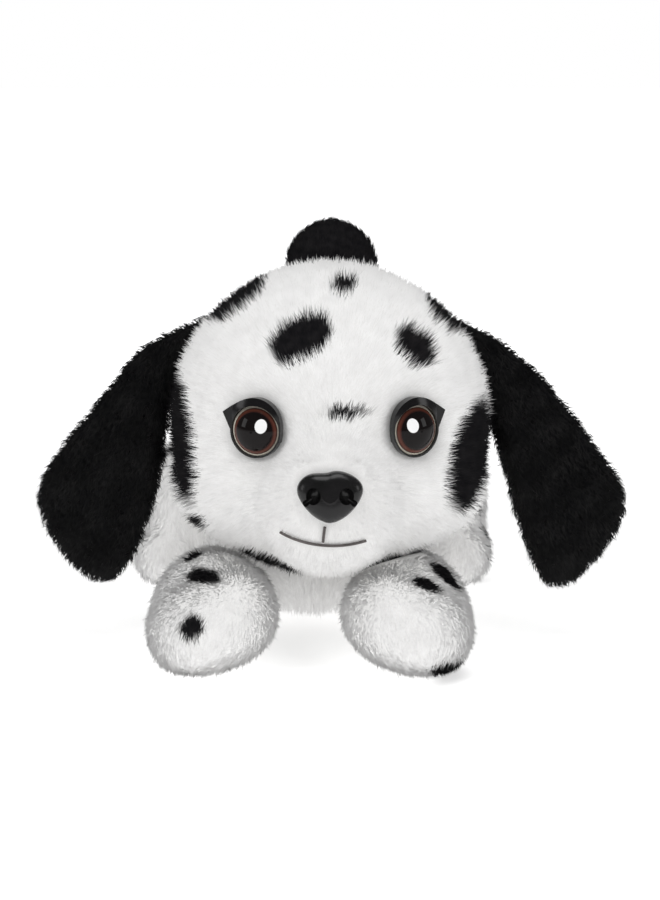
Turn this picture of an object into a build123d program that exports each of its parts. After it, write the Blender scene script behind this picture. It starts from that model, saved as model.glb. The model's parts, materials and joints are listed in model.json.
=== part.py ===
from build123d import *
from math import asin, cos, pi, radians, sin, sqrt, tan
import os

# Plush dalmatian puppy lying on its belly.  Millimetres, +Z up, the puppy faces -Y.
# The origin is on the floor under the middle of the belly; +X is the puppy's own left side.

# ---------------------------------------------------------------- driving dimensions
SKIN = 4.0              # plush fabric with its pile, laid flat
PANEL_GAP = 0.15        # half the width of a seam between two panels
FILL_GAP = 0.4          # room between a panel's backing and the stuffing
JOINT_GAP = 1.0         # room between a limb's round root and its seat

HEAD_CENTRE = (8, -70, 94)
HEAD_RADIUS = 66.5      # the head is a ball...
FACE_RADIUS = 78.0      # ...with a flatter face, part of a larger ball
FACE_SHIFT = 22.0       # how far that ball's centre lies behind the head's
HEAD_SEAT = 69.5        # radius of the hollow in the shoulders that holds the head
GUSSET_HALF = 20.0      # half the width of the strip over the crown
MUZZLE_CENTRE = (8, -118, 69)
MUZZLE_RADIUS = 29.5
MOUTH_CUT_Z = 56.6      # the muzzle and chin panels meet here

NECK_RING = (67.4, 68.7)    # inner and outer radius of the neck seam about the head's centre
NECK_DOWN = 42.0            # how far below the horizontal the neck leaves the head, degrees
NECK_SPREAD = (22.5, 26.5)  # the ring lies between these angles from the neck's axis, degrees

CHEST = ((0, -32, 30.5), 32)      # the body is drawn between two balls: centre, radius
HIPS = ((0, 40, 43), 47)
CHEST_Y = -38           # the chest panel is ahead of this plane
BELLY_Z = 14            # the belly panel is below this plane

EAR_Y = -62             # plane between the two fabrics of an ear
EAR_CLOTH = 3.4         # thickness of each of the two fabrics
EAR_ROUNDS = [((61, 132), 9), ((86, 93), 19), ((98, 48), 26)]   # the ear is drawn around these
EAR_BEVEL = 54.0        # the ear thins to a wedge where it is sewn on, so it can fold; degrees

TAIL_ROOT = (3, 64, 84)
TAIL_ROOT_RADIUS = 15.5
TAIL_TIP = (9, 66, 143)
TAIL_TIP_RADIUS = 18.8
TAIL_COLOUR_Z = 112     # white below, black above
TAIL_FLARE = 23.0       # the tail's seat opens upwards this far off the vertical, degrees

FORELEG_ROOT = (40, -44, 16.5)
FORELEG_ROOT_RADIUS = 15.5
WRIST = ((41, -96, 16.5), 17)
PAW_BACK = ((39, -113, 19.5), 23.5)
PAW_FRONT = ((39, -128, 19), 23.5)
HIND_HIP = (60, 56, 32)
HAUNCH_HALF_WIDTH = 22.0
HAUNCH_RADIUS = 31.5
HAUNCH_ROUND = 17.0
HEEL = ((68, 46, 14.2), 14.5)
TOES = ((68, 30, 14), 14.5)
SOLE_Z = 7              # the sole panels are below this plane

EYE_RADIUS = 10.1
EYE_RIM_RADIUS = 10.9
EYE_RECESS = 2.5        # how far the eye's back sits under the skin's surface
EYE_DISC = 1.6
EYE_DOME = 5.0          # the clear dome's rise
EYE_HEIGHT = 97.2
LID_ROOM = 14.4         # radius of the recess around an eye's surround
LID_PLATE = 2.7
LID_DOME_CENTRE = (0, 6, -19.2)     # the lid's outside is part of this ball
LID_DOME_RADIUS = 22.0
EYES = {"left": (42.0, 33.0), "right": (-21.5, 23.0)}   # place along X, turn outwards
SHANK_RADIUS = 2.2
SHANK_LENGTH = 11.0
WASHER_RADIUS = 8.0
WASHER = 1.4

NOSE_CENTRE = (8, -146.6, 76)
NOSE_PITCH = 12.0       # the nose looks up by this, degrees
NOSE_OUTLINE = [(0, 9.4), (7.6, 8.6), (12.6, 3.6), (10.2, -3.6), (4.6, -8.8), (0, -10.3)]
NOSE_LAYERS = [(0, 0.93), (3.0, 1.0), (5.6, 0.95), (7.6, 0.80), (8.8, 0.56), (9.3, 0.28)]
NOSTRIL_OUT = 6.3
NOSTRIL_UP = -0.2
NOSE_ROOM = 13.4        # radius of the flat under the nose
THREAD = 0.55           # radius of the mouth thread

BIG = 400


# ---------------------------------------------------------------- shared shapes
def ball(centre, radius):
    return Pos(*centre) * Sphere(radius)


def pod(first, second, inset=0.0):
    """A closed cushion drawn smoothly between two balls."""
    (start, big_a), (end, big_b) = first, second
    a, b = big_a - inset, big_b - inset
    way = Vector(*end) - Vector(*start)
    length = way.length
    lean = asin((a - b) / length)
    side = (cos(lean), sin(lean))
    point_a = (a * side[0], a * side[1])
    point_b = (b * side[0], length + b * side[1])
    mid_a = (a * cos((lean - pi / 2) / 2), a * sin((lean - pi / 2) / 2))
    mid_b = (b * cos((lean + pi / 2) / 2), length + b * sin((lean + pi / 2) / 2))
    outline = [
        ThreePointArc((0, -a), mid_a, point_a),
        Line(point_a, point_b),
        ThreePointArc(point_b, mid_b, (0, length + b)),
        Line((0, length + b), (0, -a)),
    ]
    solid = revolve(make_face(outline), Axis.Y, 360)
    frame = Plane(origin=start, z_dir=way)
    return frame.location * (Rot(90, 0, 0) * solid)


def above(z):
    return Pos(0, 0, z + BIG / 2) * Box(BIG, BIG, BIG)


def below(z):
    return Pos(0, 0, z - BIG / 2) * Box(BIG, BIG, BIG)


def right_of(x):
    return Pos(x + BIG / 2, 0, 0) * Box(BIG, BIG, BIG)


def left_of(x):
    return Pos(x - BIG / 2, 0, 0) * Box(BIG, BIG, BIG)


def ahead_of(y):
    return Pos(0, y - BIG / 2, 0) * Box(BIG, BIG, BIG)


def behind(y):
    return Pos(0, y + BIG / 2, 0) * Box(BIG, BIG, BIG)


def mirrored_point(point, side):
    return (point[0] * side, point[1], point[2])


def save(name, shape):
    solids = shape.solids()
    body = solids[0] if len(solids) == 1 else Compound(children=list(solids))
    body.label = name
    export_step(body, f"parts/{name}.step")


# ---------------------------------------------------------------- head
def head_ball(inset):
    face_centre = (HEAD_CENTRE[0], HEAD_CENTRE[1] + FACE_SHIFT, HEAD_CENTRE[2])
    skull = Pos(*HEAD_CENTRE) * Rot(0, 90, 0) * Sphere(HEAD_RADIUS - inset)
    face = Pos(*face_centre) * Rot(0, 90, 0) * Sphere(FACE_RADIUS - inset)
    return skull & face


def head_mass(inset):
    return head_ball(inset) + ball(MUZZLE_CENTRE, MUZZLE_RADIUS - inset)


def eye_frame(side):
    """The plane of an eye: its origin on the face, its normal looking out of the head."""
    x, turn = EYES[side]
    dx = x - HEAD_CENTRE[0]
    dz = EYE_HEIGHT - HEAD_CENTRE[2]
    y = HEAD_CENTRE[1] + FACE_SHIFT - sqrt(FACE_RADIUS**2 - dx**2 - dz**2)
    sign = 1 if side == "left" else -1
    out = (sign * sin(radians(turn)), -cos(radians(turn)), 0.03)
    across = (cos(radians(turn)), sign * sin(radians(turn)), 0)
    return Plane(origin=(x, y, EYE_HEIGHT), x_dir=across, z_dir=out)


def nose_frame():
    up = radians(NOSE_PITCH)
    return Plane(origin=NOSE_CENTRE, x_dir=(1, 0, 0), z_dir=(0, -cos(up), sin(up)))


def shank_hole(frame):
    return frame.location * (Pos(0, 0, -8) * Cylinder(SHANK_RADIUS + 0.3, 20))


def washer_room(frame):
    """The space behind a panel where a washer grips a shank."""
    return frame.location * (Pos(0, 0, -11.5) * Cylinder(WASHER_RADIUS + 0.6, 17))


def eye_rooms():
    """The recesses in the face for the eye surrounds, with the holes for the eyes' shanks."""
    rooms = []
    for side in EYES:
        frame = eye_frame(side)
        outer = 10 if side == "left" else -10
        recess = Pos(0, 0, 20 - EYE_RECESS) * Cylinder(LID_ROOM, 40)
        corner = Pos(outer, 6.5, 20 - EYE_RECESS) * Box(14, 10, 40)
        rooms += [frame.location * recess, frame.location * corner, shank_hole(frame)]
    return rooms


def nose_rooms():
    frame = nose_frame()
    recess = Pos(0, 0, 19.8) * Cylinder(NOSE_ROOM, 40)
    return [frame.location * recess, shank_hole(frame)]


def head_skins():
    scalp = head_ball(0) - head_ball(SKIN) - ball(MUZZLE_CENTRE, MUZZLE_RADIUS + PANEL_GAP)
    muzzle = ball(MUZZLE_CENTRE, MUZZLE_RADIUS) - ball(MUZZLE_CENTRE, MUZZLE_RADIUS - SKIN)
    muzzle = muzzle - head_ball(-PANEL_GAP)
    for room in eye_rooms():
        scalp = scalp - room
        muzzle = muzzle - room
    for room in nose_rooms():
        muzzle = muzzle - room
    middle = HEAD_CENTRE[0]
    strip = Pos(middle, 0, 0) * Box(2 * GUSSET_HALF, BIG, BIG)
    save("head_gusset", scalp & strip)
    save("head_side_left", scalp & right_of(middle + GUSSET_HALF + PANEL_GAP))
    save("head_side_right", scalp & left_of(middle - GUSSET_HALF - PANEL_GAP))
    save("muzzle_panel", muzzle & above(MOUTH_CUT_Z + PANEL_GAP))
    save("chin_panel", muzzle & below(MOUTH_CUT_Z - PANEL_GAP))


def head_stuffing():
    fill = head_mass(SKIN + FILL_GAP)
    for side in EYES:
        fill = fill - washer_room(eye_frame(side))
    fill = fill - washer_room(nose_frame())
    save("head_stuffing", fill)


# ---------------------------------------------------------------- eyes
def lid_outline(side):
    """The ring around the eye with a lid over its top, drawn to a point at the outer corner."""
    out = 1 if side == "left" else -1
    over = [(14.2, 6.9), (6.8, 11.4), (-1.0, 13.2), (-8.6, 9.0), (-11.0, 0), (-10.4, -4.2)]
    under = [(-10.4, -4.2), (10.4, -1.0), (14.2, 6.9)]
    top = Spline(*[(out * x, y) for x, y in over])
    edge = Polyline(*[(out * x, y) for x, y in under])
    return make_face([top, edge]) + Circle(EYE_RIM_RADIUS)


def eye_lid(side):
    """The black moulded surround: a low ring with a lid that swells over the top."""
    sheet = lid_outline(side) - Circle(EYE_RADIUS + 0.1)
    plate = extrude(sheet, LID_PLATE, dir=(0, 0, 1))
    brow = extrude(sheet, 4 * LID_PLATE, dir=(0, 0, 1))
    bottom = Pos(0, 0, -EYE_RECESS + 0.1)
    lid = bottom * plate + (bottom * brow & Pos(*LID_DOME_CENTRE) * Sphere(LID_DOME_RADIUS))
    return eye_frame(side).location * lid


def eye_disc(frame):
    """The printed disc with the shank that passes through the fabric."""
    disc = Pos(0, 0, -EYE_RECESS + 0.1 + EYE_DISC / 2) * Cylinder(EYE_RADIUS, EYE_DISC)
    shank = Pos(0, 0, -EYE_RECESS + 0.1 - SHANK_LENGTH / 2) * Cylinder(SHANK_RADIUS, SHANK_LENGTH)
    tip = Pos(0, 0, -EYE_RECESS + 0.1 - SHANK_LENGTH) * Sphere(SHANK_RADIUS)
    return frame.location * (disc + shank + tip)


def eye_lens(frame):
    """The clear dome over the print."""
    curve = (EYE_RADIUS**2 + EYE_DOME**2) / (2 * EYE_DOME)
    floor = -EYE_RECESS + 0.1 + EYE_DISC + 0.02
    dome = Pos(0, 0, floor + EYE_DOME - curve) * Sphere(curve)
    slab = Pos(0, 0, floor + EYE_DOME) * Cylinder(EYE_RADIUS, 2 * EYE_DOME)
    return frame.location * (dome & slab)


def washer(frame, depth):
    """A pressed washer with a raised hub, its bore just clear of the shank."""
    plate = Cylinder(WASHER_RADIUS, WASHER)
    hub = Pos(0, 0, -1.4) * Cylinder(SHANK_RADIUS + 1.6, 2.8)
    bore = Cylinder(SHANK_RADIUS + 0.05, 12)
    return frame.location * (Pos(0, 0, -depth) * (plate + hub - bore))


def eyes():
    for side in EYES:
        frame = eye_frame(side)
        save(f"eye_{side}_lid", eye_lid(side))
        save(f"eye_{side}_disc", eye_disc(frame))
        save(f"eye_{side}_lens", eye_lens(frame))
        save(f"eye_{side}_washer", washer(frame, 6.4))


# ---------------------------------------------------------------- nose and mouth
def nose_outline(size):
    half = [(u * size, v * size) for u, v in NOSE_OUTLINE]
    other = [(-u, v) for u, v in reversed(half[1:-1])]
    return make_face(Spline(*(half + other), periodic=True))


def nose_shape():
    layers = [Pos(0, 0, height) * nose_outline(size) for height, size in NOSE_LAYERS]
    solid = loft(layers)
    for side in (-1, 1):
        hollow = scale(Sphere(1), by=(2.9, 3.3, 3.4))
        slit = Rot(0, 0, side * -38) * scale(Sphere(1), by=(3.6, 1.2, 2.6))
        solid = solid - Pos(side * NOSTRIL_OUT, NOSTRIL_UP, 8.2) * hollow
        solid = solid - Pos(side * (NOSTRIL_OUT + 3.0), NOSTRIL_UP - 2.6, 6.6) * slit
    return solid


def nose():
    frame = nose_frame()
    shank = Pos(0, 0, -SHANK_LENGTH / 2) * Cylinder(SHANK_RADIUS, SHANK_LENGTH + 0.2)
    tip = Pos(0, 0, -SHANK_LENGTH) * Sphere(SHANK_RADIUS)
    save("nose", frame.location * (nose_shape() + shank + tip))
    save("nose_washer", washer(frame, 7.2))


def on_muzzle(x, z, stand):
    """A point on the front of the muzzle, standing clear of the fabric."""
    dx = x - MUZZLE_CENTRE[0]
    dz = z - MUZZLE_CENTRE[2]
    reach = sqrt((MUZZLE_RADIUS + stand) ** 2 - dx**2 - dz**2)
    return (x, MUZZLE_CENTRE[1] - reach, z)


def stitch(start, middle, end):
    points = [on_muzzle(x, z, THREAD + 0.05) for x, z in (start, middle, end)]
    path = ThreePointArc(*points)
    section = Plane(origin=path @ 0, z_dir=path % 0) * Circle(THREAD)
    return sweep(section, path)


def mouth():
    save("mouth_stitch", stitch((-11.4, 60.4), (5.2, 56.4), (22.0, 57.6)))
    save("philtrum_stitch", stitch((6.0, 64.2), (5.6, 61.0), (5.3, 57.9)))


# ---------------------------------------------------------------- ears
def ear_outline(side):
    rounds = []
    for (out, z), radius in EAR_ROUNDS:
        rounds.append(Pos(HEAD_CENTRE[0] + side * out, z) * CenterArc((0, 0), radius, 0, 360))
    return make_hull(rounds)


def ear_cloth(side, lining):
    """One fabric of an ear, standing in the ear's plane, clear of the head."""
    sheet = extrude(Plane.XZ * ear_outline(side), EAR_CLOTH)
    shift = EAR_Y - PANEL_GAP / 2 if lining else EAR_Y + EAR_CLOTH + PANEL_GAP / 2
    seat = ball(HEAD_CENTRE, HEAD_RADIUS + JOINT_GAP)
    return (Pos(0, shift, 0) * sheet) - seat - ear_bevel(lining)


def ear_bevel(lining):
    """The cone that thins one fabric to nothing at the sewn edge."""
    slope = tan(radians(EAR_BEVEL))
    edge = sqrt((HEAD_RADIUS + JOINT_GAP) ** 2 - (EAR_Y - HEAD_CENTRE[1]) ** 2)
    depth = EAR_CLOTH + 2
    cone = Cone(edge, edge + depth * slope, depth, align=(Align.CENTER, Align.CENTER, Align.MIN))
    tilt = 90 if lining else -90
    return Pos(HEAD_CENTRE[0], EAR_Y, HEAD_CENTRE[2]) * Rot(tilt, 0, 0) * cone


def ears():
    for name, side in (("left", 1), ("right", -1)):
        save(f"ear_{name}_lining", ear_cloth(side, True))
        save(f"ear_{name}_back", ear_cloth(side, False))


# ---------------------------------------------------------------- neck
def neck_seam():
    """The ring of turned-in fabric and ladder stitching that closes the neck."""
    inner, outer = NECK_RING
    corners = []
    for radius, angle in ((inner, 0), (outer, 0), (outer, 1), (inner, 1)):
        turn = radians(NECK_SPREAD[angle])
        corners.append((radius * sin(turn), radius * cos(turn)))
    ring = revolve(make_face(Polyline(*corners, close=True)), Axis.Y, 360)
    save("neck_seam", Pos(*HEAD_CENTRE) * Rot(-NECK_DOWN, 0, 0) * ring)


# ---------------------------------------------------------------- torso
def torso_blank(inset):
    """The body cushion before its hollows, pressed flat against the floor."""
    return pod(CHEST, HIPS, inset) & above(inset)


def torso_hollows(extra):
    """The seats of the head, tail, forelegs and hind legs, grown by extra."""
    hollows = [
        ball(HEAD_CENTRE, HEAD_SEAT + extra),
        ball(TAIL_ROOT, TAIL_ROOT_RADIUS + JOINT_GAP + extra),
        tail_flare(TAIL_ROOT_RADIUS + JOINT_GAP + extra),
    ]
    for side in (-1, 1):
        root = mirrored_point(FORELEG_ROOT, side)
        hollows.append(ball(root, FORELEG_ROOT_RADIUS + JOINT_GAP + extra))
        arm = (mirrored((FORELEG_ROOT, FORELEG_ROOT_RADIUS), side), mirrored(WRIST, side))
        hollows.append(pod(*arm, -2 * JOINT_GAP - extra))
        hollows.append(haunch(side, -JOINT_GAP - extra))
    return hollows


def tail_flare(radius):
    """The cone above the tail's round seat that lets the tail lean to either side."""
    lean = radians(TAIL_FLARE)
    foot, rise = radius * cos(lean), 40
    cone = Cone(foot, foot + rise * tan(lean), rise, align=(Align.CENTER, Align.CENTER, Align.MIN))
    return Pos(*TAIL_ROOT) * Pos(0, 0, -radius * sin(lean)) * cone


def torso_mass(inset, extra):
    solid = torso_blank(inset)
    for hollow in torso_hollows(extra):
        solid = solid - hollow
    return solid


def torso():
    skin = torso_mass(0, 0) - torso_mass(SKIN, SKIN)
    top = skin & above(BELLY_Z + PANEL_GAP)
    back = top & behind(CHEST_Y + PANEL_GAP)
    save("torso_side_left", back & right_of(PANEL_GAP))
    save("torso_side_right", back & left_of(-PANEL_GAP))
    save("chest_panel", top & ahead_of(CHEST_Y - PANEL_GAP))
    save("belly_panel", skin & below(BELLY_Z - PANEL_GAP))
    save("torso_stuffing", torso_mass(SKIN + FILL_GAP, SKIN + FILL_GAP))


# ---------------------------------------------------------------- tail
def tail_mass(inset):
    """A stub that swells towards its round end."""
    return pod((TAIL_ROOT, TAIL_ROOT_RADIUS), (TAIL_TIP, TAIL_TIP_RADIUS), inset)


def tail():
    skin = tail_mass(0) - tail_mass(SKIN)
    save("tail_base_panel", skin & below(TAIL_COLOUR_Z - PANEL_GAP))
    save("tail_tip_panel", skin & above(TAIL_COLOUR_Z + PANEL_GAP))
    save("tail_stuffing", tail_mass(SKIN + FILL_GAP))


# ---------------------------------------------------------------- legs
def mirrored(round_end, side):
    (x, y, z), radius = round_end
    return (x * side, y, z), radius


def foreleg_mass(side, inset):
    root = mirrored((FORELEG_ROOT, FORELEG_ROOT_RADIUS), side)
    arm = pod(root, mirrored(WRIST, side), inset) & above(inset)
    paw = pod(mirrored(PAW_BACK, side), mirrored(PAW_FRONT, side), inset) & above(inset)
    return arm + paw


def haunch(side, inset):
    """A thick round disc with soft edges, turning about the hip's axis."""
    half = HAUNCH_HALF_WIDTH - inset
    disc = Cylinder(HAUNCH_RADIUS - inset, 2 * half)
    disc = fillet(disc.edges().filter_by(GeomType.CIRCLE), HAUNCH_ROUND - max(inset, 0))
    centre = mirrored_point(HIND_HIP, side)
    return Pos(*centre) * Rot(0, 90, 0) * disc


def hindleg_mass(side, inset):
    foot = pod(mirrored(HEEL, side), mirrored(TOES, side), inset)
    return (haunch(side, inset) + foot) & above(inset)


def legs():
    for name, side in (("left", 1), ("right", -1)):
        skin = foreleg_mass(side, 0) - foreleg_mass(side, SKIN)
        upper = skin & above(SOLE_Z + PANEL_GAP)
        seam = side * PAW_BACK[0][0]
        outer_part = right_of(seam + PANEL_GAP) if side > 0 else left_of(seam - PANEL_GAP)
        inner_part = left_of(seam - PANEL_GAP) if side > 0 else right_of(seam + PANEL_GAP)
        save(f"foreleg_{name}_outer", upper & outer_part)
        save(f"foreleg_{name}_inner", upper & inner_part)
        save(f"foreleg_{name}_sole", skin & below(SOLE_Z - PANEL_GAP))
        save(f"foreleg_{name}_stuffing", foreleg_mass(side, SKIN + FILL_GAP))

        skin = hindleg_mass(side, 0) - hindleg_mass(side, SKIN)
        save(f"hindleg_{name}_panel", skin & above(SOLE_Z + PANEL_GAP))
        save(f"hindleg_{name}_sole", skin & below(SOLE_Z - PANEL_GAP))
        save(f"hindleg_{name}_stuffing", hindleg_mass(side, SKIN + FILL_GAP))


os.makedirs("parts", exist_ok=True)
head_skins()
head_stuffing()
eyes()
nose()
mouth()
ears()
neck_seam()
torso()
tail()
legs()
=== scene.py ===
import json
from math import cos, radians, sin, sqrt, pi

import bmesh
import bpy
import numpy as np
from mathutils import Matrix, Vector


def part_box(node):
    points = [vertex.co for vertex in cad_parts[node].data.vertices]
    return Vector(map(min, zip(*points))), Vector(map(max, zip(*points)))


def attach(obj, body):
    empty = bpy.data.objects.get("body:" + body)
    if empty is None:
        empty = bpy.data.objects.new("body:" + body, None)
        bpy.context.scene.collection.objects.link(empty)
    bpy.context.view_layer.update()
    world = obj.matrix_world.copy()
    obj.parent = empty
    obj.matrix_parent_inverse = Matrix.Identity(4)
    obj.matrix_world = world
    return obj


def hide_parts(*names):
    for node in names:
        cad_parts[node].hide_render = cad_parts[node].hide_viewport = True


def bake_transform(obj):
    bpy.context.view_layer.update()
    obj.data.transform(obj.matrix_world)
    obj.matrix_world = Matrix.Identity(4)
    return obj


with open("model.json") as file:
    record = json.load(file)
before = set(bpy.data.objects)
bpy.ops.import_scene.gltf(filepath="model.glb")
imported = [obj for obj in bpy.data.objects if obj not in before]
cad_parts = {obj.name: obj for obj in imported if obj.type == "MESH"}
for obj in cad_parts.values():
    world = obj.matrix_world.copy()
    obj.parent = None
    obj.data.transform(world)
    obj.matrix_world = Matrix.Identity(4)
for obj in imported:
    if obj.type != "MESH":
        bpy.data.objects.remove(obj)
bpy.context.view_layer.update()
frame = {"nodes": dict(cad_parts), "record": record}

# A plush dalmatian puppy.  Shapes are worked out in millimetres in the frame of the CAD
# model and turned into metres when a mesh is made.
MM = 0.001
RNG = np.random.default_rng(7)


# ------------------------------------------------------------------ places, from the frame
def box(node):
    low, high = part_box(node)
    return np.array(low) / MM, np.array(high) / MM


def middle(*nodes):
    lows, highs = zip(*(box(n) for n in nodes))
    return (np.min(lows, axis=0) + np.max(highs, axis=0)) / 2


def joint(name):
    entry = next(j for j in frame["record"]["behaviour"]["joints"] if j["name"] == name)
    return np.array(entry["pos_m"]) / MM, np.array(entry["axis"])


def unit(v):
    v = np.asarray(v, float)
    return v / np.linalg.norm(v)


def unit_rows(v):
    return v / (np.linalg.norm(v, axis=1)[:, None] + 1e-9)


HEAD = joint("head_turn")[0]
GUSSET_LOW, GUSSET_HIGH = box("head_gusset")
HEAD_R = (GUSSET_HIGH[2] - GUSSET_LOW[2]) / 2
FACE_FRONT = GUSSET_LOW[1]
MUZZLE_LOW, MUZZLE_HIGH = box("muzzle_panel")
CHIN_LOW = box("chin_panel")[0]
MUZZLE_R = (MUZZLE_HIGH[0] - MUZZLE_LOW[0]) / 2
NOSE = middle("nose")
MUZZLE = np.array([(MUZZLE_LOW[0] + MUZZLE_HIGH[0]) / 2, HEAD[1] - 48, CHIN_LOW[2] + MUZZLE_R])
EYES = {}
for side in ("left", "right"):
    lens = middle(f"eye_{side}_lens")
    out = unit(lens - middle(f"eye_{side}_washer"))
    EYES[side] = (lens, out)
TORSO_LOW, TORSO_HIGH = box("torso_stuffing")
TAIL_ROOT = joint("tail_wag")[0]
TAIL_LOW, TAIL_HIGH = box("tail_tip_panel")
FORELEG = {s: joint(f"foreleg_{s}_swing")[0] for s in ("left", "right")}
HIP = {s: joint(f"hindleg_{s}_kick")[0] for s in ("left", "right")}
SIGN = {"left": 1, "right": -1}

SKIN_INSET = 3.2    # the cloth lies this far under the CAD skin; the pile fills the rest
REST_HEIGHT = 0.8   # a skin that lies on the floor is flat at this height
PILE_FLOOR = 1.2    # no fibre grows lower than this


# ------------------------------------------------------------------ distance fields
def f_ball(p, centre, radius):
    return np.linalg.norm(p - centre, axis=1) - radius


def f_egg(p, centre, half, power=2.0, roll=0.0):
    """A rounded block or egg, rolled about the Y axis by roll degrees."""
    q = p - centre
    c, s = cos(radians(roll)), sin(radians(roll))
    q = np.stack([q[:, 0] * c + q[:, 2] * s, q[:, 1], q[:, 2] * c - q[:, 0] * s], axis=1)
    q = np.abs(q / np.array(half)) ** power
    return (q.sum(axis=1) ** (1 / power) - 1) * min(half)


def f_pod(p, a, ra, b, rb):
    """A cushion drawn between two balls."""
    a, b = np.asarray(a, float), np.asarray(b, float)
    way = b - a
    t = np.clip((p - a) @ way / (way @ way), 0, 1)
    return np.linalg.norm(p - a - t[:, None] * way, axis=1) - (ra + (rb - ra) * t)


def join(a, b, soft):
    h = np.clip(0.5 + 0.5 * (b - a) / soft, 0, 1)
    return b * (1 - h) + a * h - soft * h * (1 - h)


def meet(a, b, soft):
    return -join(-a, -b, soft)


def smooth(x, low, high):
    t = np.clip((x - low) / (high - low), 0, 1)
    return t * t * (3 - 2 * t)


def wobble(p, size, seed):
    """Soft bumps, about size mm across, between -1 and 1, made from a few turned waves."""
    rng = np.random.default_rng(seed)
    total = np.zeros(len(p))
    for _ in range(6):
        way = unit(rng.normal(size=3))
        total += np.sin(p @ way * 2 * pi / size * rng.uniform(0.7, 1.4) + rng.uniform(0, 6))
    return total / 6


# ------------------------------------------------------------------ meshes
def mesh_from(name, points, faces):
    mesh = bpy.data.meshes.new(name)
    mesh.from_pydata((np.asarray(points) * MM).tolist(), [], [tuple(f) for f in faces])
    mesh.validate()
    obj = bpy.data.objects.new(name, mesh)
    bpy.context.collection.objects.link(obj)
    return obj


LONGEST_RAY = 160.0
HALVINGS = 26


def swell(name, centre, field, level):
    """A closed skin: every point of a fine globe moves along its ray to where field is zero."""
    bm = bmesh.new()
    bmesh.ops.create_icosphere(bm, subdivisions=level, radius=1.0)
    rays = np.array([v.co[:] for v in bm.verts])
    faces = [[v.index for v in f.verts] for f in bm.faces]
    bm.free()
    low = np.zeros(len(rays))
    high = np.full(len(rays), LONGEST_RAY)
    for _ in range(HALVINGS):
        mid = (low + high) / 2
        inside = field(centre + rays * mid[:, None]) < 0
        low = np.where(inside, mid, low)
        high = np.where(inside, high, mid)
    obj = mesh_from(name, centre + rays * low[:, None], faces)
    obj.data.shade_smooth()
    return obj


def vertices_of(obj):
    flat = np.empty(len(obj.data.vertices) * 3)
    obj.data.vertices.foreach_get("co", flat)
    return flat.reshape(-1, 3) / MM


def move_vertices(obj, points):
    obj.data.vertices.foreach_set("co", (points * MM).ravel())
    obj.data.update()


def paint(obj, name, values):
    """Stores one number per vertex, for the material to read."""
    layer = obj.data.attributes.new(name, "FLOAT", "POINT")
    layer.data.foreach_set("value", np.asarray(values, dtype=np.float32))


# ------------------------------------------------------------------ spots
def spot(p, centre, along, half_long, half_short, edge, axes=(0, 2)):
    """How dark p is in one printed spot: 1 inside, 0 outside, ragged at its edge."""
    q = p[:, list(axes)] - np.array(centre)
    c, s = cos(radians(along)), sin(radians(along))
    u = (q[:, 0] * c + q[:, 1] * s) / half_long
    v = (q[:, 1] * c - q[:, 0] * s) / half_short
    reach = (np.sqrt(u * u + v * v) - 1) * half_short
    reach += 0.9 * wobble(p, 9, 31) + 0.6 * wobble(p, 4, 32)
    return 1 - smooth(reach, -edge, edge)


def darkest(p, spots, edge, axes=(0, 2)):
    """How dark p is in any of several spots."""
    dark = np.zeros(len(p))
    for centre, turn, long_half, short_half in spots:
        dark = np.maximum(dark, spot(p, centre, turn, long_half, short_half, edge, axes))
    return dark


SPOT_EDGE = 1.0        # half the width over which a spot's edge fades
LEG_SPOT_EDGE = 0.9


# on the front of the head, seen from the front: centre (x, z), turn, half length, half width
FACE_SPOTS = [
    ((-3.0, 131.6), 29, 13.0, 7.8),
    ((40.8, 128.0), -44, 9.4, 6.0),
    ((14.4, 103.9), 4, 7.6, 2.4),
    ((13.4, 151.0), 8, 5.0, 3.4),
    ((-32.0, 146.0), 33, 17.0, 7.0),
    ((56.5, 141.0), -46, 13.0, 7.5),
    ((-51.0, 90.0), 97, 25.0, 6.0),
    ((63.5, 84.0), 76, 22.0, 8.5),
    ((-16.0, 40.0), -28, 14.0, 5.6),
    ((-44.5, 58.4), -40, 4.0, 3.2),
    ((34.0, 39.8), 20, 17.0, 5.6),
]
# on the back of the head, seen from behind: these are out of sight in the picture
BACK_SPOTS = [
    ((-24.0, 118.0), 20, 12.0, 8.0),
    ((30.0, 104.0), -30, 10.0, 7.0),
    ((2.0, 138.0), 5, 9.0, 6.0),
    ((-8.0, 84.0), 60, 8.0, 6.0),
    ((46.0, 72.0), 40, 9.0, 6.0),
]


def head_spots(p):
    front = 1 - smooth(p[:, 1], HEAD[1] + 4, HEAD[1] + 12)
    return np.maximum(front * darkest(p, FACE_SPOTS, SPOT_EDGE),
                      (1 - front) * darkest(p, BACK_SPOTS, SPOT_EDGE))


# seen from above: centre (x, y), turn, half length, half width
TORSO_SPOTS = [
    ((-22, 20), 40, 13, 9), ((20, 8), -30, 11, 8), ((4, 40), 15, 12, 8), ((-30, 56), -20, 10, 8),
    ((28, 44), 70, 12, 8), ((-6, 74), 30, 9, 6), ((24, 74), -30, 8, 6), ((-38, -4), 80, 9, 7),
]


def torso_spots(p):
    upper = smooth(p[:, 2], 30, 40)
    return upper * darkest(p, TORSO_SPOTS, SPOT_EDGE, axes=(0, 1))


# on the forelegs, seen from above (x, y), then on the front of the paws, seen from ahead (x, z)
FORELEG_SPOTS = {
    "right": [((-47.0, -101.0), 60, 4.4, 3.2), ((-41.5, -123.0), -62, 13.0, 5.0)],
    "left": [((54.0, -108.0), 20, 6.0, 6.4), ((45.5, -127.5), -15, 5.4, 7.6)],
}
PAW_SPOTS = {"right": ((-45.4, 25.5), 25, 5.4, 4.4), "left": ((54.5, 6.0), 0, 7.4, 4.2)}


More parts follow.
